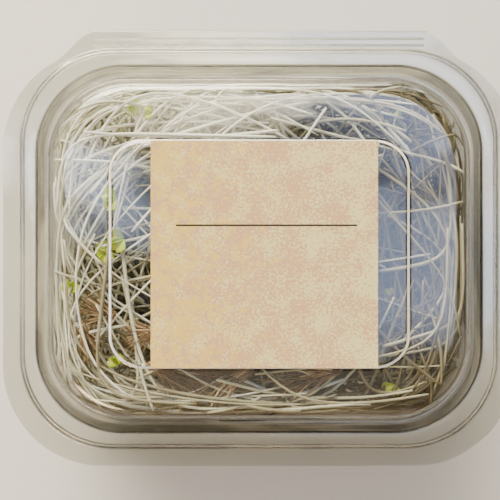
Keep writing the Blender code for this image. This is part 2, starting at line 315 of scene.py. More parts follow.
def foldFlap(obj):
    # draws the back of the flange in, except for the hinge flap in its middle
    edit = bmesh.from_edit_mesh(obj.data)
    root, tip = outline["flapRoot"], outline["flapTip"]
    for vert in edit.verts:
        if vert.select and vert.co.y > 0:
            draw = 1 - smoothStep((root - abs(vert.co.x) / mm) / (root - tip))
            fade = smoothStep(vert.co.y / (outline["flapStart"] * mm))
            vert.co.y -= outline["flapDepth"] * mm * draw * fade
    bmesh.update_edit_mesh(obj.data)


def formSheet(name, section):
    # starts from the ridge's foot: the flange is pulled outwards from it, the rest inwards
    deselectAll()
    foot = section[0]
    halfX, halfY = ringSize(foot[0])
    bpy.ops.mesh.primitive_plane_add(size=2, location=(0, 0, foot[1] * mm))
    sheet = nameNew(name)
    applyPlace(sheet)
    bpy.ops.object.mode_set(mode="EDIT")
    bpy.ops.mesh.select_all(action="SELECT")
    bpy.ops.transform.resize(value=(halfX, halfY, 1), center_override=(0, 0, 0))
    radius = (outline["corner"] - outline["cornerShrink"] * foot[0]) * mm
    bpy.ops.mesh.bevel(affect="VERTICES", offset=radius, segments=outline["cornerSteps"], profile=0.5)
    pickEdges(sheet, lambda edge: edge.calc_length() > outline["straight"] * mm)
    bpy.ops.mesh.subdivide(number_cuts=outline["sideCuts"])
    bpy.ops.mesh.select_all(action="SELECT")
    bpy.ops.mesh.delete(type="ONLY_FACE")
    bpy.ops.mesh.select_all(action="SELECT")
    for old, new in zip(section, section[1:]):
        pullRing(old, new)
    bpy.ops.mesh.edge_face_add()
    return sheet


def pullFlange(sheet, foot):
    # the open loop still at the foot's height and size is drawn out to the sheet's cut edge
    pickEdges(sheet, lambda edge: edge.is_boundary)
    pullRing(foot, (0, foot[1]))
    foldFlap(sheet)


# a section lists (inset from the outline, height), from the ridge's foot inwards
tray = {"section": [(5.6, 38.0), (6.3, 40.2), (9.7, 40.2), (10.6, 37.2), (15.0, 3.4), (15.8, 1.5),
                    (17.8, 0.5), (25.0, 0.5), (26.0, 1.7)]}
lid = {"dome": 14.3, "wallTop": 44.5, "shoulder": 5.7, "shoulderSteps": 6, "plateauFoot": 10.9,
       "plateauSlope": 0.9, "plateauNarrow": 0.97, "plateauRise": 0.8, "plateauY": -1.5, "ribZ": 49.6,
       "ribReach": 3.0, "ribSlope": 0.93}
lid["section"] = [(5.0, 38.8), (5.7, 41.0), (10.3, 41.0), (11.7, 35.8), (13.3, 35.8)] + [
    (lid["dome"] + lid["shoulder"] * (1 - cos(step / lid["shoulderSteps"] * pi / 2)),
     lid["wallTop"] + lid["shoulder"] * sin(step / lid["shoulderSteps"] * pi / 2))
    for step in range(lid["shoulderSteps"] + 1)]


def finishSheet(sheet, body, node):
    # rounds the bends, gives the sheet its thickness and puts it in the frame
    bpy.ops.mesh.select_all(action="SELECT")
    bpy.ops.mesh.normals_make_consistent(inside=False)
    bpy.ops.object.mode_set(mode="OBJECT")
    bends = sheet.modifiers.new("bends", "BEVEL")
    bends.width = outline["bend"] * mm
    bends.segments = outline["bendSteps"]
    bends.limit_method = "ANGLE"
    bends.angle_limit = radians(outline["bendAngle"])
    wall = sheet.modifiers.new("wall", "SOLIDIFY")
    wall.thickness = outline["sheet"] * mm
    wall.offset = -1
    wall.use_even_offset = True
    applyModifiers(sheet)
    bpy.ops.object.shade_smooth_by_angle(angle=radians(outline["smooth"]))
    # the big flat faces rule the shading, so that their reflections stay flat
    flats = sheet.modifiers.new("flats", "WEIGHTED_NORMAL")
    flats.keep_sharp = True
    applyModifiers(sheet)
    sheet.data.materials.append(petSheet)
    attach(sheet, body)
    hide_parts(node)
    print(f"{sheet.name}: {len(sheet.data.polygons)} faces")


trayShell = formSheet("trayShell", tray["section"])
pullFlange(trayShell, tray["section"][0])
finishSheet(trayShell, "tray", "tray")

lidShell = formSheet("lidShell", lid["section"])
bpy.ops.mesh.select_mode(type="FACE")
bpy.ops.mesh.inset(thickness=lid["plateauFoot"] * mm, depth=0)
bpy.ops.transform.resize(value=(lid["plateauNarrow"], 1, 1), center_override=(0, 0, 0))
bpy.ops.transform.translate(value=(0, lid["plateauY"] * mm, 0))
bpy.ops.mesh.inset(thickness=lid["plateauSlope"] * mm, depth=0)
bpy.ops.transform.translate(value=(0, 0, lid["plateauRise"] * mm))
pullFlange(lidShell, lid["section"][0])
finishSheet(lidShell, "lid", "lid")
# the raised panel's edge, over a sharp rib of the mould, is given a flat white: a painted highlight
lidShell.data.materials.append(petRibHighlight)
ribInset = (lid["plateauFoot"] - lid["ribReach"]) * mm
ribX, ribY = (size - ribInset for size in ringSize(lid["section"][-1][0]))
for face in lidShell.data.polygons:
    x, y, z = face.center
    sloping = abs(face.normal.z) < lid["ribSlope"]
    if sloping and z > lid["ribZ"] * mm and abs(x) < ribX and abs(y) < ribY:
        face.material_index = 1

# Two score beads along the hinge flap, where the sheet was creased
score = {"halfX": 48.0, "places": (59.3, 61.2), "z": 38.72, "radius": 0.32, "sides": 12, "smooth": 50}

beads = []
for y in score["places"]:
    deselectAll()
    bpy.ops.mesh.primitive_cylinder_add(vertices=score["sides"], radius=score["radius"] * mm,
                                        depth=2 * score["halfX"] * mm, location=(0, y * mm, score["z"] * mm),
                                        rotation=(0, radians(90), 0))
    applyPlace(bpy.context.object)
    beads.append(bpy.context.object)
deselectAll()
for bead in beads:
    bead.select_set(True)
bpy.ops.object.join()
scoreBeads = nameNew("scoreBeads")
bpy.ops.object.shade_smooth_by_angle(angle=radians(score["smooth"]))
scoreBeads.data.materials.append(petSheet)
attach(scoreBeads, "lid")
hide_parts("lid")
print("score beads are on the flap")


# Kraft paper label, blank but for one plain rule, pressed on the lid's raised panel

label = {"side": 63.5, "thickness": 0.14, "x": 1.4, "y": -1.5, "z": 51.06, "cuts": 30, "smooth": 40,
         "cornerLift": 0.22, "cornerPower": 8, "ripple": 0.05, "ripplesPerMetre": 60}
rule = {"x": 2.0, "y": 6.6, "length": 50.7, "width": 0.5}
# sizes of the kraft's patterns, the ends they grade between, and how much they do so. Real fibres are
# finer; these are as coarse as they need to be to show
kraft = {"cloud": 2.38, "cluster": 5.88, "fleck": 0.667, "fibre": 0.385, "fibreHeight": 0.03,
         "leftEnd": -30, "rightEnd": 33, "gold": -0.24, "crowding": 0.12, "clustering": 0.45}


def makeKraft(name):
    # Uncoated kraft paper, matt: warm tan with pressed fibres. Golden clouds warm its left side, and
    # fine cream flecks crowd towards its right. One thin black rule is printed across it.
    material = addMaterial(name)
    place = addNode(material, "ShaderNodeTexCoord")
    axes = addNode(material, "ShaderNodeSeparateXYZ", {"Vector": place.outputs["Object"]})
    right = addNode(material, "ShaderNodeMapRange", {0: axes.outputs["X"], 1: kraft["leftEnd"] * mm,
                    2: kraft["rightEnd"] * mm})
    clouds = addNode(material, "ShaderNodeTexNoise", {"Vector": place.outputs["Object"],
                     "Scale": 1000 / kraft["cloud"], "Detail": 6.0, "Roughness": 0.75})
    leftClouds = addNode(material, "ShaderNodeMath", {0: right.outputs["Result"], 1: kraft["gold"],
                         2: clouds.outputs["Fac"]}, operation="MULTIPLY_ADD")
    golden = addNode(material, "ShaderNodeValToRGB", {"Fac": leftClouds.outputs["Value"]},
                     stops=[(0.4, "#CBA37A"), (0.5, "#DDBE62")])
    clusters = addNode(material, "ShaderNodeTexNoise", {"Vector": place.outputs["Object"],
                       "Scale": 1000 / kraft["cluster"], "Detail": 2.0})
    grains = addNode(material, "ShaderNodeTexNoise", {"Vector": place.outputs["Object"],
                     "Scale": 1000 / kraft["fleck"], "Detail": 3.0, "Roughness": 0.65})
    crowded = addNode(material, "ShaderNodeMath", {0: right.outputs["Result"], 1: kraft["crowding"],
                      2: grains.outputs["Fac"]}, operation="MULTIPLY_ADD")
    flecks = addNode(material, "ShaderNodeMath", {0: clusters.outputs["Fac"], 1: kraft["clustering"],
                     2: crowded.outputs["Value"]}, operation="MULTIPLY_ADD")
    fleckMask = addNode(material, "ShaderNodeValToRGB", {"Fac": flecks.outputs["Value"]},
                        stops=[(0.80, "#000000"), (0.85, "#FFFFFF")])
    speckled = addNode(material, "ShaderNodeMix", {0: fleckMask.outputs["Color"],
                       6: golden.outputs["Color"], 7: "#DCD092"}, data_type="RGBA")
    along = addNode(material, "ShaderNodeMath", {0: axes.outputs["X"], 1: rule["x"] * mm,
                    2: rule["length"] / 2 * mm}, operation="COMPARE")
    across = addNode(material, "ShaderNodeMath", {0: axes.outputs["Y"], 1: rule["y"] * mm,
                     2: rule["width"] / 2 * mm}, operation="COMPARE")
    onRule = addNode(material, "ShaderNodeMath", {0: along.outputs["Value"], 1: across.outputs["Value"]},
                     operation="MULTIPLY")
    # the printed face looks up; the glued one has no ink
    faces = addNode(material, "ShaderNodeSeparateXYZ", {"Vector": place.outputs["Normal"]})
    inked = addNode(material, "ShaderNodeMath", {0: onRule.outputs["Value"], 1: faces.outputs["Z"]},
                    operation="MULTIPLY", use_clamp=True)
    paper = addNode(material, "ShaderNodeMix", {0: inked.outputs["Value"], 6: speckled.outputs[2],
                    7: "#15140F"}, data_type="RGBA")
    fibres = addNode(material, "ShaderNodeTexNoise", {"Vector": place.outputs["Object"],
                     "Scale": 1000 / kraft["fibre"], "Detail": 3.0})
    bump = addNode(material, "ShaderNodeBump", {"Height": fibres.outputs["Fac"], "Strength": 0.5,
                   "Distance": kraft["fibreHeight"] * mm})
    shader = addNode(material, "ShaderNodeBsdfPrincipled", {"Base Color": paper.outputs[2],
                     "Roughness": 0.8, "Normal": bump.outputs["Normal"]})
    addNode(material, "ShaderNodeOutputMaterial", {"Surface": shader.outputs["BSDF"]})
    return material


deselectAll()
bpy.ops.mesh.primitive_plane_add(size=label["side"] * mm,
                                 location=(label["x"] * mm, label["y"] * mm, label["z"] * mm))
labelPaper = nameNew("labelPaper")
applyPlace(labelPaper)
bpy.ops.object.mode_set(mode="EDIT")
bpy.ops.mesh.subdivide(number_cuts=label["cuts"])
bpy.ops.object.mode_set(mode="OBJECT")
# it ripples a little, and its corners have come loose
for vert in labelPaper.data.vertices:
    offX, offY = (abs(vert.co.x / mm - label["x"]), abs(vert.co.y / mm - label["y"]))
    corner = 1.0
    for off in (offX, offY):
        corner *= (off / (label["side"] / 2)) ** label["cornerPower"]
    ripple = label["ripple"] * (1 + noise.noise(vert.co * label["ripplesPerMetre"]))
    vert.co.z += (ripple + label["cornerLift"] * corner) * mm
paperWall = labelPaper.modifiers.new("paper", "SOLIDIFY")
paperWall.thickness = label["thickness"] * mm
paperWall.offset = 1
applyModifiers(labelPaper)
bpy.ops.object.shade_smooth_by_angle(angle=radians(label["smooth"]))
labelPaper.data.materials.append(makeKraft("kraftPaper"))
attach(labelPaper, "lid")
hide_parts("label")
print("label is on the lid")

# Greens: the same stems as the solid's, many finer ones between them, seed leaves and a dark middle of
# painted shade

heap = {"space": 1.3, "coreHalf": (51.0, 40.5, 14.5), "coreMidZ": 16.8, "toneSeed": 4}
# a main stem's root stands in the core, near the walls or further in, at a share of the core's size
mainStem = {"count": 130, "seed": 9, "sides": 6, "cuts": 17, "radius": 0.52, "taper": 0.15, "steps": 6,
            "length": (36, 62), "bend": 15, "edgeShare": 0.55, "edgeReach": (0.72, 0.86),
            "edgeTurn": (1.1, 0.5), "innerReach": 0.75, "rootZ": (-0.2, 0.45), "topDepth": 17,
            "topCrowding": 1.3, "lowShare": 0.38, "lowZ": (4, 33), "riseOver": 0.6}
# some of them carry leaves, if their tips have room for them
leafy = {"count": 16, "room": 9.0, "slack": 0.1, "underLid": 6, "turn": (0.5, 0.8), "tilt": (-0.3, 0.4)}
# how pale stems are painted by their place, as painted light and shade, with some random spread, and the
# heights or places that each change runs between
lightAndTone = {"least": 0.04, "most": 0.98, "spread": 0.15, "high": 0.7, "highOver": (16, 48), "back": 0.22,
         "backOver": (15, 35), "right": 0.55, "rightOver": (6, 34), "front": 0.24,
         "frontOver": (-18, -34), "low": 0.45, "lowOver": (20, 8)}
# every stem swells and narrows a little along its length, and is narrower at its cut ends
stalk = {"ahead": 0.02, "steep": 0.05, "swell": 0.1, "swells": 9, "swellShift": 20, "end": 0.75}
walls = {"top": 10.6, "foot": 14.8, "plugDrop": 2.2, "domeRise": 6.5, "lidRise": 12.2, "sheet": 0.5}
coreHalf = Vector(heap["coreHalf"]) * mm
coreMidZ = heap["coreMidZ"] * mm


def clearInset(z):
    # how far in from the outline the inner wall of tray or lid is at height z
    rimZ = outline["rimZ"] * mm
    if z < rimZ - (walls["plugDrop"] + heap["space"]) * mm:
        return (walls["top"] + (walls["foot"] - walls["top"]) * (rimZ - z) / rimZ) * mm
    shoulder = (walls["lidRise"] - walls["domeRise"]) * mm
    rise = min(1.0, max(0.0, (z - rimZ - walls["domeRise"] * mm) / (shoulder - walls["sheet"] * mm)))
    return (lid["dome"] + walls["sheet"]) * mm + shoulder * (1 - sqrt(1 - rise * rise))


def confined(x, y, z, space):
    # the point, moved sideways if it has to be to keep clear of the walls
    inset = clearInset(z)
    radius = outline["corner"] * mm - outline["cornerShrink"] * inset - space
    flatX = outline["halfX"] * mm - inset - space - radius
    flatY = outline["halfY"] * mm - inset - space - radius
    overX = max(0.0, abs(x) - flatX)
    overY = max(0.0, abs(y) - flatY)
    over = hypot(overX, overY)
    if over > radius:
        x = (abs(x) - overX * (1 - radius / over)) * (1 if x > 0 else -1)
        y = (abs(y) - overY * (1 - radius / over)) * (1 if y > 0 else -1)
    return Vector((x, y, z))


def eased(route, space):
    # the route with its corners smoothed, still clear of the walls
    for _ in range(2):
        middles = [(a + 2 * b + c) / 4 for a, b, c in zip(route, route[1:], route[2:])]
        route = [route[0], *(confined(*point, space) for point in middles), route[-1]]
    return route


def wandered(place, heading, bend, stride, heights, space):
    # a route of even strides, one for each height, which turns along any wall it meets
    route = []
    for height in heights:
        point = confined(place.x, place.y, height, space)
        if route:
            heading = (point - route[-1]).to_2d().angle_signed(Vector((1, 0)))
        route.append(point)
        heading += bend * stride
        place = point + stride * Vector((cos(heading), sin(heading), 0))
    return eased(route, space)


def stemRoute(rng):
    # a main stem wanders from its root in the core up, or down, to its own layer
    space = heap["space"] * mm
    around = rng.uniform(0, tau)
    alongEdge = rng.random() < mainStem["edgeShare"]
    if alongEdge:
        reach = rng.uniform(*mainStem["edgeReach"])
    else:
        reach = mainStem["innerReach"] * sqrt(rng.random())
    place = Vector((coreHalf.x * reach * cos(around), coreHalf.y * reach * sin(around), 0))
    rootZ = coreMidZ + coreHalf.z * rng.uniform(*mainStem["rootZ"])
    depth = mainStem["topDepth"] * rng.random() ** mainStem["topCrowding"]
    layerZ = (outline["rimZ"] + walls["lidRise"] - walls["sheet"] - depth) * mm - space
    if rng.random() < mainStem["lowShare"]:
        layerZ = rng.uniform(*(z * mm for z in mainStem["lowZ"]))
    if alongEdge:
        heading = around + rng.choice((-1, 1)) * rng.gauss(*mainStem["edgeTurn"])
    else:
        heading = rng.uniform(0, tau)
    bend = rng.gauss(0, mainStem["bend"])
    steps = mainStem["steps"]
    stride = rng.uniform(*(length * mm for length in mainStem["length"])) / steps
    rises = [smoothStep(step / steps / mainStem["riseOver"]) for step in range(steps + 1)]
    heights = [rootZ + (layerZ - rootZ) * rise for rise in rises]
    return wandered(place, heading, bend, stride, heights, space)


def roomForLeaves(point):
    # whether leaves at this point keep clear of the walls and the lid
    inside = (confined(*point, leafy["room"] * mm) - point).length < leafy["slack"] * mm
    return inside and point.z < (outline["rimZ"] + walls["lidRise"] - leafy["underLid"]) * mm


def curvePoint(route, t):
    # a point on the smooth curve through the route, t from 0 to 1
    place = t * (len(route) - 1)
    i = min(int(place), len(route) - 2)
    u = place - i
    a, b, c, d = (route[max(0, min(len(route) - 1, k))] for k in (i - 1, i, i + 1, i + 2))
    first, second, third = c - a, 2 * a - 5 * b + 4 * c - d, 3 * b - a - 3 * c + d
    return 0.5 * (2 * b + first * u + second * u * u + third * u ** 3)


def addStemMaster(name, sides, cuts):
    # one straight stem of unit length and radius, cut across so that copies can bend
    deselectAll()
    bpy.ops.mesh.primitive_cylinder_add(vertices=sides, radius=1, depth=1, location=(0, 0, 0.5))
    master = nameNew(name)
    applyPlace(master)
    bpy.ops.object.mode_set(mode="EDIT")
    pickEdges(master, lambda edge: abs(edge.verts[0].co.z - edge.verts[1].co.z) > 0.5)
    bpy.ops.mesh.subdivide(number_cuts=cuts)
    bpy.ops.object.mode_set(mode="OBJECT")
    return master


def layStem(master, route, radius, tone, taper):
    # a copy of the master laid along the route; tone is kept as an attribute for its colour
    mesh = master.data.copy()
    rings = {}
    frames = {}
    up = Vector((0, 0, 1))
    for vert in mesh.vertices:
        rings.setdefault(round(vert.co.z, 4), []).append(vert)
    near = stalk["ahead"]
    for t in sorted(rings):
        centre = curvePoint(route, t)
        ahead = (curvePoint(route, min(1, t + near)) - curvePoint(route, max(0, t - near))).normalized()
        across = ahead.cross(up)
        across = across.normalized() if across.length > stalk["steep"] else Vector((1, 0, 0))
        frames[t] = (centre, across, across.cross(ahead))
    for t, verts in rings.items():
        centre, across, above = frames[t]
        swell = 1 + stalk["swell"] * sin(stalk["swells"] * t + tone * stalk["swellShift"])
        wide = radius * (1 - taper * t) * swell
        if t in (0.0, 1.0):
            wide *= stalk["end"]
        for vert in verts:
            vert.co = centre + wide * (across * vert.co.x + above * vert.co.y)
    tones = mesh.attributes.new("tone", "FLOAT", "POINT")
    tones.data.foreach_set("value", [tone] * len(mesh.vertices))
    stem = bpy.data.objects.new("stem", mesh)
    bpy.context.scene.collection.objects.link(stem)
    return stem


def between(value, ends):
    # 0 at the first of the ends and 1 at the second, with a soft change between them
    start, end = ends
    return smoothStep((value - start) / (end - start))


def toneAndShadeOf(route, rng):
    # painted light and shade: stems high in the heap and at its back are painted pale as if lit, those
    # below, at the right and at the front painted darker as if shaded
    x, y, height = sum(route, Vector()) / len(route) / mm
    tone = lightAndTone["least"] + lightAndTone["high"] * between(height, lightAndTone["highOver"])
    tone += rng.gauss(0, lightAndTone["spread"])
    right = between(x, lightAndTone["rightOver"])
    tone += lightAndTone["back"] * between(y, lightAndTone["backOver"]) * (1 - right) - lightAndTone["right"] * right
    tone -= lightAndTone["front"] * between(y, lightAndTone["frontOver"])
    # the low ones against the wall are in the light again
    tone += lightAndTone["low"] * between(height, lightAndTone["lowOver"])
    return min(lightAndTone["most"], max(0.0, tone))


def joinAll(pieces, name):
    deselectAll()
    for piece in pieces:
        piece.select_set(True)
    bpy.context.view_layer.objects.active = pieces[0]
    bpy.ops.object.join()
    joined = nameNew(name)
    bpy.ops.object.shade_smooth()
    return joined


def finishGreens(piece, material):
    # gives a piece of the heap its material and puts it in the frame
    piece.data.materials.append(material)
    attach(piece, "tray")
    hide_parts("microgreens")
    print(f"{piece.name}: {len(piece.data.polygons)} faces")


# how large the stems' mottling is, and how far it shifts their tone
flesh = {"mottle": 6.25, "mottling": 0.3}


def makeStemFlesh(name):
    # Fresh cut stem: watery and a little see-through, cream white with a soft wet shine; a few are tan
    material = addMaterial(name)
    tone = addNode(material, "ShaderNodeAttribute", attribute_name="tone")
    place = addNode(material, "ShaderNodeTexCoord")
    mottle = addNode(material, "ShaderNodeTexNoise", {"Vector": place.outputs["Object"],
                     "Scale": 1000 / flesh["mottle"], "Detail": 2.0})
    shift = addNode(material, "ShaderNodeMath", {0: mottle.outputs["Fac"], 1: flesh["mottling"],
                    2: tone.outputs["Fac"]}, operation="MULTIPLY_ADD")
    # the ramp's dark end is painted shade, for stems deep in the heap, at the right and at the front; the
    # mottle is their own
    colour = addNode(material, "ShaderNodeValToRGB", {"Fac": shift.outputs["Value"]},
                     stops=[(0.12, "#665D45"), (0.38, "#938A6C"), (0.62, "#CBC8AE"), (0.92, "#FCFAEC")])
    shader = addNode(material, "ShaderNodeBsdfPrincipled", {"Base Color": colour.outputs["Color"],
                     "Roughness": 0.38, "IOR": 1.38, "Subsurface Weight": 0.15,
                     "Subsurface Radius": (0.8, 0.8, 0.5), "Subsurface Scale": 0.8 * mm})
    addNode(material, "ShaderNodeOutputMaterial", {"Surface": shader.outputs["BSDF"]})
    return material


stemFlesh = makeStemFlesh("freshStemFlesh")
rng = random.Random(mainStem["seed"])
toneRng = random.Random(heap["toneSeed"])
master = addStemMaster("stemMaster", mainStem["sides"], mainStem["cuts"])
stems = []
leafPlaces = []
for _ in range(mainStem["count"]):
    route = stemRoute(rng)
    side, tilt = rng.uniform(*leafy["turn"]), rng.uniform(*leafy["tilt"])
    if len(leafPlaces) < leafy["count"] and roomForLeaves(route[-1]):
        leafPlaces.append((route[-1], (route[-1] - route[-2]).to_2d(), side, tilt))
    stems.append(layStem(master, route, mainStem["radius"] * mm, toneAndShadeOf(route, toneRng), mainStem["taper"]))
mainStems = joinAll(stems, "mainStems")
bpy.data.objects.remove(master, do_unlink=True)
finishGreens(mainStems, stemFlesh)

# Long stems laid between the main ones: most run round the walls in loose bundles, the rest lie across
laid = {"sides": 6, "cuts": 19, "taper": 0.25, "steps": 9, "bend": 5.0, "wallReach": (0.78, 1.16),
        "innerReach": (0.3, 1.0), "overCore": 0.85, "dip": (-6, 3)}
longStems = {"count": 330, "seed": 21, "radius": (0.3, 0.58), "length": (55, 105), "alongWall": 0.66,
             "wallHeading": 0.22, "lowZ": 6, "highZ": 48.2, "crowding": 0.55, "loose": 5.0}
# others fill the bottom of the tray, where only the sides show them
lowStems = {"count": 170, "seed": 52, "radius": (0.3, 0.52), "length": (45, 90), "alongWall": 0.9,
            "wallHeading": 0.3, "lowZ": 2.4, "highZ": 24.0, "crowding": 1.4, "loose": 8.0}


def longRoute(rng, spec):
    # a laid stem dips or rises a little on its way, and those over the core lie on top of it
    around = rng.uniform(0, tau)
    alongWall = rng.random() < spec["alongWall"]
    reach = rng.uniform(*laid["wallReach" if alongWall else "innerReach"])
    place = Vector((coreHalf.x * reach * cos(around), coreHalf.y * reach * sin(around)))
    z = (spec["lowZ"] + (spec["highZ"] - spec["lowZ"]) * rng.random() ** spec["crowding"]) * mm
    if Vector((place.x / coreHalf.x, place.y / coreHalf.y)).length < laid["overCore"]:
        z = max(z, coreMidZ + coreHalf.z)
    heading = around + rng.choice((-1, 1)) * (pi / 2 + rng.gauss(0, spec["wallHeading"]))
    if not alongWall:
        heading = rng.uniform(0, tau)
    bend = rng.gauss(0, laid["bend"])
    steps = laid["steps"]
    stride = rng.uniform(*spec["length"]) * mm / steps
    dip = rng.uniform(*laid["dip"]) * mm
    space = (heap["space"] + spec["loose"] * rng.random() ** 2) * mm
    heights = [z + dip * sin(pi * step / steps) for step in range(steps + 1)]
    heights = [min(spec["highZ"] * mm, max(spec["lowZ"] * mm, height)) for height in heights]
    return eased(wandered(place, heading, bend, stride, heights, space), space)


master = addStemMaster("stemMaster", laid["sides"], laid["cuts"])
stems = []
for spec in (longStems, lowStems):
    fineRng = random.Random(spec["seed"])
    for _ in range(spec["count"]):
        route = longRoute(fineRng, spec)
        radius = fineRng.uniform(*spec["radius"]) * mm
        stems.append(layStem(master, route, radius, toneAndShadeOf(route, toneRng), laid["taper"]))
laidStems = joinAll(stems, "laidStems")
bpy.data.objects.remove(master, do_unlink=True)
finishGreens(laidStems, stemFlesh)

# Fine stems deep in the heap, thinner and painted darker as shade, that close its gaps
fine = {"count": 380, "seed": 35, "sides": 5, "cuts": 11, "radius": (0.24, 0.42), "taper": 0.25,
        "sink": (2, 9), "lowest": 4, "depthShade": 0.7}
fineRng = random.Random(fine["seed"])
master = addStemMaster("stemMaster", fine["sides"], fine["cuts"])
stems = []
for _ in range(fine["count"]):
    route = stemRoute(fineRng)
    sink = fineRng.uniform(*fine["sink"]) * mm
    sinks = [min(sink, max(0.0, point.z - fine["lowest"] * mm)) for point in route]
    route = [point - Vector((0, 0, down)) for point, down in zip(route, sinks)]
    route = [confined(*point, heap["space"] * mm) for point in route]
    radius = fineRng.uniform(*fine["radius"]) * mm
    stems.append(layStem(master, route, radius, fine["depthShade"] * toneAndShadeOf(route, toneRng), fine["taper"]))
fineStems = joinAll(stems, "fineStems")
bpy.data.objects.remove(master, do_unlink=True)
finishGreens(fineStems, stemFlesh)

# Root tufts: fans of fine tan hairs left on the cut roots, each with a few thick tan strands. A fan has
# its root's place in mm, the way it points in degrees, its length in mm and half its angle in radians
tufts = {"seed": 8, "sides": 4, "cuts": 6, "taper": 0.5, "hairs": 110, "hairRadius": (0.09, 0.16),
         "hairTone": (0.0, 0.85), "strands": 7, "strandRadius": (0.28, 0.45), "strandTone": (0.6, 1.0),
         "rootSpread": 0.6, "rootDepth": (-1.2, 0.4), "lengths": (0.45, 1.0), "steps": 7, "curl": 40,
         "sink": 2.5}
fans = [
    (-41.5, -19.0, 46.0, 165, 13, 0.55), (-50.5, -22.0, 45.5, 285, 13, 0.35),
    (-30.0, -23.5, 46.6, 190, 10, 0.6), (-31.0, -33.0, 46.6, 345, 26, 0.3),
    (-2.0, -34.0, 46.4, 198, 24, 0.3), (22.0, -34.5, 46.0, 190, 24, 0.28),
]


def makeRootHair(name):
    # Fine roots: matt tan hairs, brown where they are wet and pale at their tips
    material = addMaterial(name)
    tone = addNode(material, "ShaderNodeAttribute", attribute_name="tone")
    colour = addNode(material, "ShaderNodeValToRGB", {"Fac": tone.outputs["Fac"]},
                     stops=[(0.0, "#463826"), (0.45, "#8A7150"), (0.8, "#BFA27A"), (1.0, "#E6D2AC")])
    shader = addNode(material, "ShaderNodeBsdfPrincipled", {"Base Color": colour.outputs["Color"],
                     "Roughness": 0.6})
    addNode(material, "ShaderNodeOutputMaterial", {"Surface": shader.outputs["BSDF"]})
    return material


def tuftRoute(rng, x, y, z, way, length, spread):
    # a hair leaves the root within the fan's angle and sinks into the heap
    offX, offY = rng.gauss(0, tufts["rootSpread"]), rng.gauss(0, tufts["rootSpread"])
    point = Vector((x + offX, y + offY, z + rng.uniform(*tufts["rootDepth"]))) * mm
    heading = radians(way) + rng.uniform(-spread, spread)
    bend = rng.gauss(0, tufts["curl"])
    stride = length * rng.uniform(*tufts["lengths"]) * mm / tufts["steps"]
    sink = rng.uniform(0, tufts["sink"]) * mm / tufts["steps"]
    route = [point]
    for step in range(tufts["steps"]):
        heading += bend * stride
        point = point + stride * Vector((cos(heading), sin(heading), 0)) - Vector((0, 0, sink))
        route.append(confined(*point, heap["space"] * mm))
    return eased(route, heap["space"] * mm)


fineRng = random.Random(tufts["seed"])
master = addStemMaster("hairMaster", tufts["sides"], tufts["cuts"])
hairs = []
for fan in fans:
    for kind in ["hair"] * tufts["hairs"] + ["strand"] * tufts["strands"]:
        radius = fineRng.uniform(*tufts[kind + "Radius"]) * mm
        tone = fineRng.uniform(*tufts[kind + "Tone"])
        hairs.append(layStem(master, tuftRoute(fineRng, *fan), radius, tone, tufts["taper"]))
rootTufts = joinAll(hairs, "rootTufts")
bpy.data.objects.remove(master, do_unlink=True)
finishGreens(rootTufts, makeRootHair("rootHair"))

# The imported middle: a lumpy dark mass that shows in the gaps, painted shade for the heap's shaded depths
core = {"shrink": 0.95, "squareness": 3.6, "segments": 72, "rings": 36, "flat": 0.93, "lump": 1.6,
        "lumpSize": 5.0, "fleck": 2.38, "fleckHeight": 0.8}


def makeShadeFill(name):
    # Painted shade: a matt dark olive mass, flecked with brown and straw colour, for the shade deep in the
    # heap
    material = addMaterial(name)
    place = addNode(material, "ShaderNodeTexCoord")
    flecks = addNode(material, "ShaderNodeTexNoise", {"Vector": place.outputs["Object"],
                     "Scale": 1000 / core["fleck"], "Detail": 4.0, "Roughness": 0.65})
    colour = addNode(material, "ShaderNodeValToRGB", {"Fac": flecks.outputs["Fac"]},
                     stops=[(0.3, "#2C2D21"), (0.48, "#55553C"), (0.6, "#746A4A"), (0.75, "#A08E68")])
    bump = addNode(material, "ShaderNodeBump", {"Height": flecks.outputs["Fac"], "Strength": 1.0,
                   "Distance": core["fleckHeight"] * mm})
    shader = addNode(material, "ShaderNodeBsdfPrincipled", {"Base Color": colour.outputs["Color"],
                     "Roughness": 0.7, "Normal": bump.outputs["Normal"]})
    addNode(material, "ShaderNodeOutputMaterial", {"Surface": shader.outputs["BSDF"]})
    return material


deselectAll()
bpy.ops.mesh.primitive_uv_sphere_add(segments=core["segments"], ring_count=core["rings"], radius=1)
shadeCore = nameNew("shadeCore")
square = core["squareness"]
for vert in shadeCore.data.vertices:
    x, y, z = vert.co
    corner = (abs(x) ** square + abs(y) ** square) ** (1 / square)
    spread = hypot(x, y) / corner if corner else 1.0
    z = max(z, -core["flat"])
    vert.co = Vector((x * spread * coreHalf.x, y * spread * coreHalf.y, z * coreHalf.z)) * core["shrink"]
    lump = noise.noise(vert.co / (core["lumpSize"] * mm)) * core["lump"] * mm
    vert.co += Vector((x, y, max(0.0, z))) * lump
    vert.co.z += coreMidZ
bpy.ops.object.shade_smooth()
finishGreens(shadeCore, makeShadeFill("paintedShadeFill"))

# Seed leaves: broad, notched at the tip and cupped, on the ends of the leafy stems
leaf = {"length": 6.0, "width": 6.0, "thick": 0.45, "cutsX": 9, "cutsY": 8, "fold": 0.75, "curl": 0.9,
        "stemSize": 0.6, "stalkWidth": 0.1, "foot": 0.03, "reach": 0.8, "fullness": 1.25, "roundness": 0.8,
        "notch": 0.3, "notchSlope": 1.7, "lobe": 0.16, "seenTurn": 0.62, "seenTilt": 0.3, "mottle": 2.0,
        "mottling": 0.25}
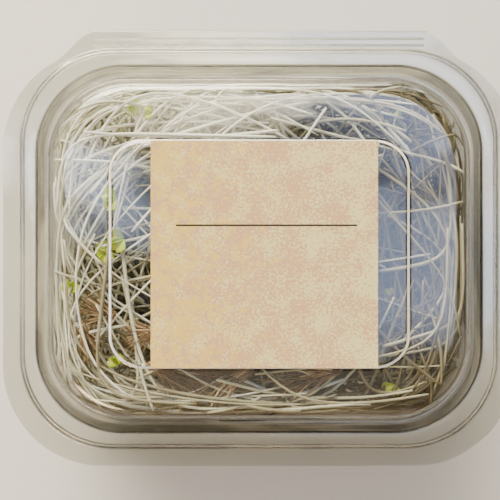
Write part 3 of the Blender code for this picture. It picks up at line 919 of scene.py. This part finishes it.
# where leaves are seen: the place in mm, the way it points in degrees and its size
seenLeaves = [
    (-37.3, 41.0, 43.5, 200, 0.62), (-34.8, 41.9, 44.0, 320, 0.5), (-30.5, 38.8, 45.0, 10, 0.45),
    (-40.5, 14.2, 46.9, 350, 0.75), (-38.5, 2.9, 46.6, 340, 0.78), (-53.9, -12.2, 43.5, 100, 0.6),
    (-40.5, -33.1, 43.0, 60, 0.55), (-44.2, -1.5, 41.0, 250, 0.5),
]


def makeLeafSkin(name):
    # Young cotyledon: thin and waxy, yellow-green that pales towards the midrib and its stalk
    material = addMaterial(name)
    uv = addNode(material, "ShaderNodeUVMap", uv_map="UVMap")
    split = addNode(material, "ShaderNodeSeparateXYZ", {"Vector": uv.outputs["UV"]})
    off = addNode(material, "ShaderNodeMath", {0: split.outputs["X"], 1: 0.5}, operation="SUBTRACT")
    across = addNode(material, "ShaderNodeMath", {0: off.outputs["Value"]}, operation="ABSOLUTE")
    place = addNode(material, "ShaderNodeTexCoord")
    mottle = addNode(material, "ShaderNodeTexNoise", {"Vector": place.outputs["Object"],
                     "Scale": 1000 / leaf["mottle"]})
    ribs = addNode(material, "ShaderNodeMath", {0: mottle.outputs["Fac"], 1: leaf["mottling"],
                   2: across.outputs["Value"]}, operation="MULTIPLY_ADD")
    colour = addNode(material, "ShaderNodeValToRGB", {"Fac": ribs.outputs["Value"]},
                     stops=[(0.1, "#EFE9A0"), (0.22, "#D6DA4E"), (0.45, "#B2C926"), (0.7, "#84A226")])
    shader = addNode(material, "ShaderNodeBsdfPrincipled", {"Base Color": colour.outputs["Color"],
                     "Roughness": 0.42, "Subsurface Weight": 0.2, "Subsurface Radius": (0.6, 1.0, 0.2),
                     "Subsurface Scale": 0.6 * mm})
    addNode(material, "ShaderNodeOutputMaterial", {"Surface": shader.outputs["BSDF"]})
    return material


def addLeafMaster(name):
    # a grid shaped to one leaf: u runs across it from -1 to 1, v from its stalk to its tip
    deselectAll()
    bpy.ops.mesh.primitive_grid_add(x_subdivisions=leaf["cutsX"], y_subdivisions=leaf["cutsY"], size=2)
    master = nameNew(name)
    for vert in master.data.vertices:
        u, v = vert.co.x, (vert.co.y + 1) / 2
        along = min(1.0, leaf["foot"] + leaf["reach"] * v ** leaf["fullness"])
        wide = leaf["stalkWidth"] + (1 - leaf["stalkWidth"]) * sin(pi * along) ** leaf["roundness"]
        notch = leaf["notch"] * v ** 4 * (1 - min(1.0, abs(u) * leaf["notchSlope"])) ** 2
        notch += leaf["lobe"] * v ** 3 * abs(u) ** 3
        x = u * wide * leaf["width"] / 2
        y = leaf["length"] * (v - notch)
        z = leaf["fold"] * abs(x) - leaf["curl"] * v * v
        vert.co = Vector((x, y, z)) * mm
    wall = master.modifiers.new("blade", "SOLIDIFY")
    wall.thickness = leaf["thick"] * mm
    wall.offset = 0
    applyModifiers(master)
    return master


def placeLeaf(master, base, direction, side, tilt, size):
    # a copy of the leaf at its stem's tip, turned aside from the stem's direction and tilted
    mesh = master.data.copy()
    aim = Matrix.Rotation(-direction.angle_signed(Vector((0, 1))), 4, "Z")
    turn = Matrix.Rotation(side, 4, "Z") @ Matrix.Rotation(tilt, 4, "X") @ Matrix.Scale(size, 4)
    mesh.transform(Matrix.Translation(base) @ aim @ turn)
    blade = bpy.data.objects.new("leaf", mesh)
    bpy.context.scene.collection.objects.link(blade)
    return blade


master = addLeafMaster("leafMaster")
blades = []
for base, direction, side, tilt in leafPlaces:
    for sign in (-1, 1):
        blades.append(placeLeaf(master, base, direction, sign * side, tilt, leaf["stemSize"]))
for x, y, z, way, size in seenLeaves:
    direction = Vector((cos(radians(way)), sin(radians(way))))
    for sign in (-1, 1):
        blades.append(placeLeaf(master, Vector((x, y, z)) * mm, direction, sign * leaf["seenTurn"],
                                leaf["seenTilt"], size))
bpy.data.objects.remove(master, do_unlink=True)
seedLeaves = joinAll(blades, "seedLeaves")
finishGreens(seedLeaves, makeLeafSkin("cotyledonSkin"))

# The fold along the back, where the same sheet joins lid and tray: a thin bead
hinge = {"halfX": 49.0, "y": 63.1, "z": 38.15, "radius": 0.36, "sheet": 0.3, "arc": 10, "cuts": 24,
         "smooth": 50}

deselectAll()
bpy.ops.mesh.primitive_plane_add(size=1)
hingeFilm = nameNew("hingeFilm")
bpy.ops.object.mode_set(mode="EDIT")
bpy.ops.mesh.select_all(action="SELECT")
bpy.ops.transform.resize(value=(2 * hinge["halfX"] * mm, 1, 1))
pickEdges(hingeFilm, lambda edge: abs(edge.verts[0].co.y - edge.verts[1].co.y) > 0.5)
bpy.ops.mesh.subdivide(number_cuts=hinge["arc"])
pickEdges(hingeFilm, lambda edge: abs(edge.verts[0].co.x - edge.verts[1].co.x) > hinge["halfX"] * mm)
bpy.ops.mesh.subdivide(number_cuts=hinge["cuts"])
bpy.ops.object.mode_set(mode="OBJECT")
for vert in hingeFilm.data.vertices:
    angle = pi * vert.co.y
    vert.co.y = (hinge["y"] + hinge["radius"] * cos(angle)) * mm
    vert.co.z = (hinge["z"] + hinge["radius"] * sin(angle)) * mm
filmWall = hingeFilm.modifiers.new("film", "SOLIDIFY")
filmWall.thickness = hinge["sheet"] * mm
filmWall.offset = 0
applyModifiers(hingeFilm)
bpy.ops.object.shade_smooth_by_angle(angle=radians(hinge["smooth"]))
hingeFilm.data.materials.append(petSheet)
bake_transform(hingeFilm)
print("fold is made")
